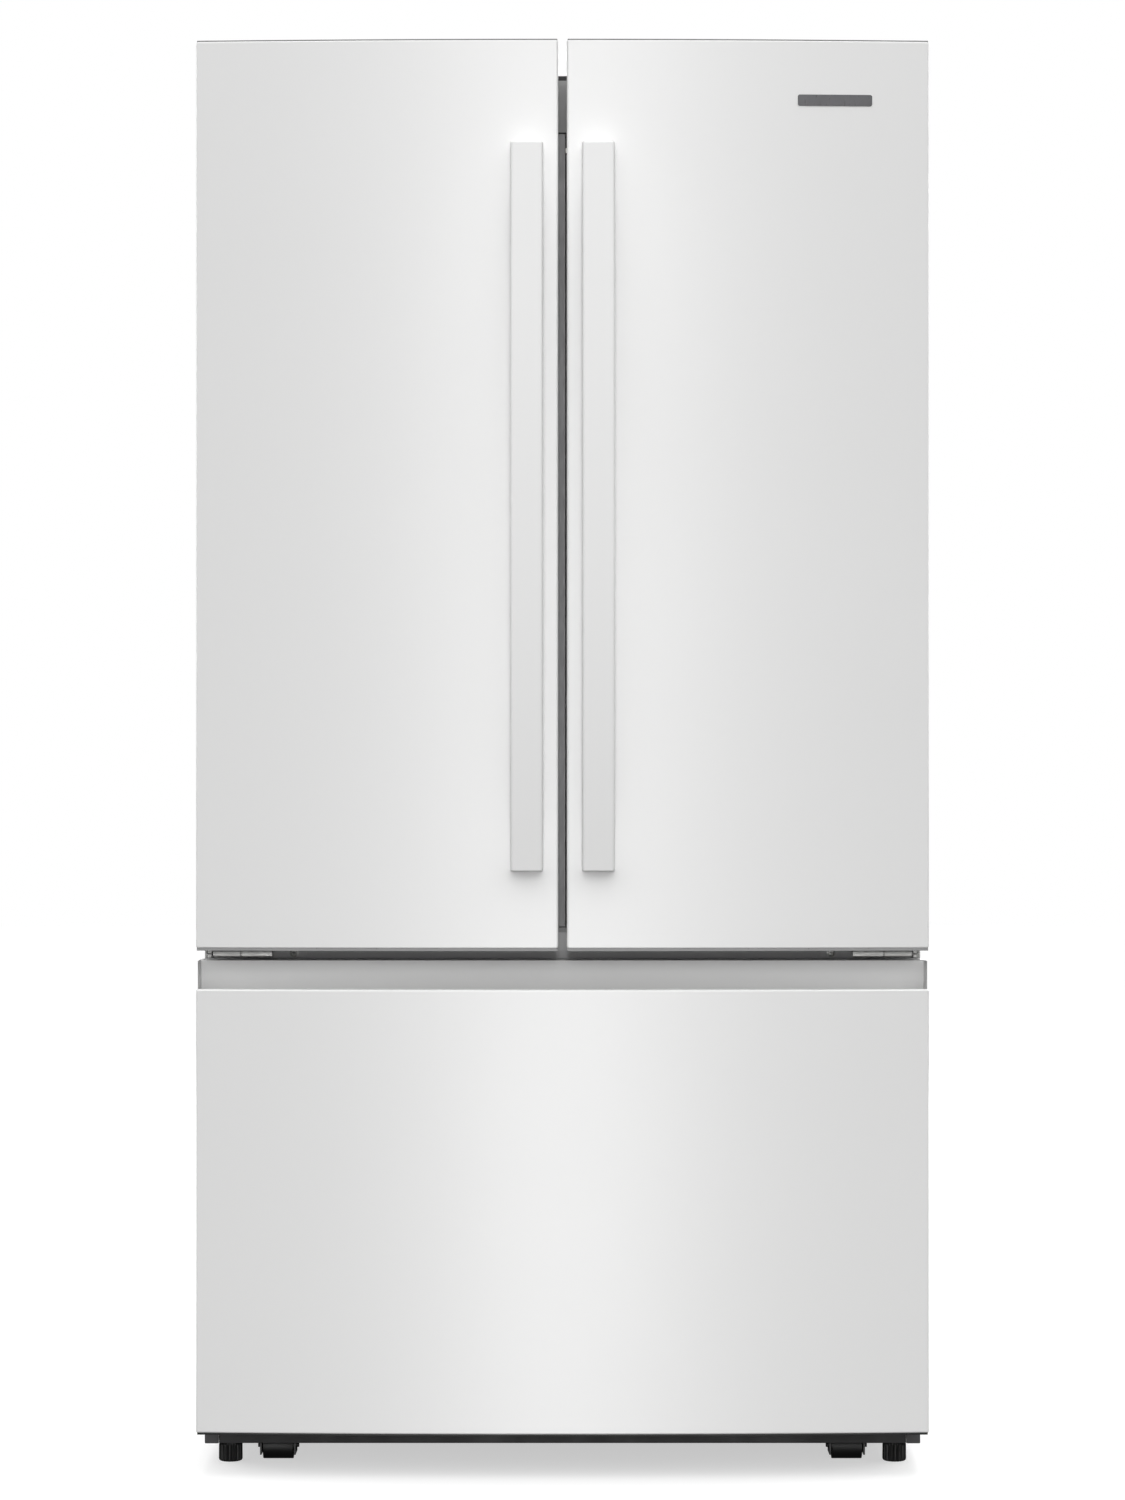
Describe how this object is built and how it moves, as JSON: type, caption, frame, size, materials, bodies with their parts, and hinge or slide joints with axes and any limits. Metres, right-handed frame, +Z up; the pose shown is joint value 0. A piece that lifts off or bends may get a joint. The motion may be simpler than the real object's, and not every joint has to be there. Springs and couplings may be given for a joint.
{
  "type": "french door refrigerator",
  "caption": "White free-standing refrigerator with two upper French doors on side hinges, bowed vertical handles and one lower freezer drawer with a finger pocket.",
  "frame": {"origin": "on the floor, under the middle of the outer box", "axes": "+Z up, -Y out of the front, +X to the right as seen from the front"},
  "size_m": [0.905, 0.89, 1.781],
  "materials": {
    "white_paint": "smooth gloss enamel",
    "white_trim": "satin moulded",
    "white_handle": "gloss painted",
    "liner_plastic": "thermoformed, satin",
    "clear_plastic": "clear moulded",
    "grey_plastic": "fine matt",
    "dark_plastic": "fine matt",
    "black_plastic": "matt moulded",
    "gasket_rubber": "soft, magnetic",
    "rigid_foam": "rigid polyurethane foam",
    "galvanised_steel": "galvanised",
    "dark_steel": "dark coated",
    "black_steel": "black enamel",
    "zinc_steel": "zinc plated",
    "bright_screw": "zinc plated",
    "bare_aluminium": "plain",
    "blank_badge": "satin, blank",
    "shelf_glass": "clear tempered"
  },
  "bodies": {
    "cabinet": {"cabinet_wrapper": "white_paint", "back_panel": "galvanised_steel", "insulation_foam": "rigid_foam", "fridge_liner": "liner_plastic", "freezer_liner": "liner_plastic", "center_crossbar": "dark_steel", "mullion_guide": "grey_plastic", "base_frame": "dark_steel", "base_grille": "dark_plastic", "machine_cover": "galvanised_steel", "compressor": "black_steel", "condenser_coil": "black_steel", "fan_motor": "dark_steel", "drain_pan": "dark_plastic", "evaporator_coil": "bare_aluminium", "evaporator_cover": "liner_plastic", "air_tower": "liner_plastic", "control_panel": "grey_plastic", "shelf_tracks": "galvanised_steel", "shelf_frames": "white_trim", "shelf_glass": "shelf_glass", "top_hinges": "zinc_steel", "hinge_covers": "white_trim", "center_hinges": "zinc_steel", "hinge_screws": "bright_screw", "freezer_rails": "zinc_steel"},
    "left_door": {"left_door_skin": "white_paint", "left_door_caps": "white_trim", "left_door_foam": "rigid_foam", "left_door_liner": "liner_plastic", "left_door_gasket": "gasket_rubber", "left_handle": "white_handle", "left_door_bins": "clear_plastic"},
    "right_door": {"right_door_skin": "white_paint", "right_door_caps": "white_trim", "right_door_foam": "rigid_foam", "right_door_liner": "liner_plastic", "right_door_gasket": "gasket_rubber", "right_handle": "white_handle", "right_door_bins": "clear_plastic", "badge": "blank_badge"},
    "mullion": {"flip_mullion": "grey_plastic"},
    "freezer_drawer": {"drawer_skin": "white_paint", "drawer_pocket": "white_trim", "drawer_foam": "rigid_foam", "drawer_liner": "liner_plastic", "drawer_gasket": "gasket_rubber", "freezer_basket": "white_trim", "inner_rails": "zinc_steel"},
    "rail_middles": {"middle_rails": "zinc_steel"},
    "upper_tray": {"freezer_tray": "clear_plastic"},
    "crisper_drawer_left": {"crisper_left": "clear_plastic"},
    "crisper_drawer_right": {"crisper_right": "clear_plastic"},
    "leveling_foot_left": {"foot_left": "black_plastic"},
    "leveling_foot_right": {"foot_right": "black_plastic"},
    "front_wheel_left": {"front_roller_left": "black_plastic"},
    "front_wheel_right": {"front_roller_right": "black_plastic"},
    "rear_wheel_left": {"rear_roller_left": "black_plastic"},
    "rear_wheel_right": {"rear_roller_right": "black_plastic"},
    "fan_rotor": {"condenser_fan": "grey_plastic"}
  },
  "joints": [
    {"name": "left_door_hinge", "type": "hinge", "parent": "cabinet", "child": "left_door", "pos_m": [-0.44, -0.33, 1.2], "axis": [0, 0, -1], "range_deg": [0, 120]},
    {"name": "right_door_hinge", "type": "hinge", "parent": "cabinet", "child": "right_door", "pos_m": [0.44, -0.33, 1.2], "axis": [0, 0, 1], "range_deg": [0, 120]},
    {"name": "mullion_fold", "type": "hinge", "parent": "left_door", "child": "mullion", "pos_m": [-0.041, -0.312, 1.18], "axis": [0, 0, 1], "range_deg": [0, 90]},
    {"name": "drawer_slide", "type": "slide", "parent": "cabinet", "child": "freezer_drawer", "axis": [0, -1, 0], "range_m": [0, 0.42]},
    {"name": "rail_middle_slide", "type": "slide", "parent": "cabinet", "child": "rail_middles", "axis": [0, -1, 0], "range_m": [0, 0.21]},
    {"name": "upper_tray_slide", "type": "slide", "parent": "cabinet", "child": "upper_tray", "axis": [0, -1, 0], "range_m": [0, 0.252]},
    {"name": "left_crisper_slide", "type": "slide", "parent": "cabinet", "child": "crisper_drawer_left", "axis": [0, -1, 0], "range_m": [0, 0.2001]},
    {"name": "right_crisper_slide", "type": "slide", "parent": "cabinet", "child": "crisper_drawer_right", "axis": [0, -1, 0], "range_m": [0, 0.2001]},
    {"name": "foot_screw_left", "type": "hinge", "parent": "cabinet", "child": "leveling_foot_left", "pos_m": [-0.4197, -0.268, 0.03], "axis": [0, 0, 1], "continuous": true},
    {"name": "foot_screw_right", "type": "hinge", "parent": "cabinet", "child": "leveling_foot_right", "pos_m": [0.4197, -0.268, 0.03], "axis": [0, 0, 1], "continuous": true},
    {"name": "front_wheel_spin_left", "type": "hinge", "parent": "cabinet", "child": "front_wheel_left", "pos_m": [-0.3595, -0.262, 0.018], "axis": [1, 0, 0], "continuous": true},
    {"name": "front_wheel_spin_right", "type": "hinge", "parent": "cabinet", "child": "front_wheel_right", "pos_m": [0.3595, -0.262, 0.018], "axis": [1, 0, 0], "continuous": true},
    {"name": "rear_wheel_spin_left", "type": "hinge", "parent": "cabinet", "child": "rear_wheel_left", "pos_m": [-0.3595, 0.385, 0.017], "axis": [1, 0, 0], "continuous": true},
    {"name": "rear_wheel_spin_right", "type": "hinge", "parent": "cabinet", "child": "rear_wheel_right", "pos_m": [0.3595, 0.385, 0.017], "axis": [1, 0, 0], "continuous": true},
    {"name": "fan_spin", "type": "hinge", "parent": "cabinet", "child": "fan_rotor", "pos_m": [-0.078, 0.354, 0.156], "axis": [1, 0, 0], "continuous": true}
  ],
  "couplings": [
    {"joint": "mullion_fold", "follows": "left_door_hinge", "ratio": 0.75},
    {"joint": "rail_middle_slide", "follows": "drawer_slide", "ratio": 0.5},
    {"joint": "upper_tray_slide", "follows": "drawer_slide", "ratio": 0.6},
    {"joint": "left_crisper_slide", "follows": "left_door_hinge", "m_per_rad": 0.0955},
    {"joint": "right_crisper_slide", "follows": "right_door_hinge", "m_per_rad": 0.0955}
  ]
}
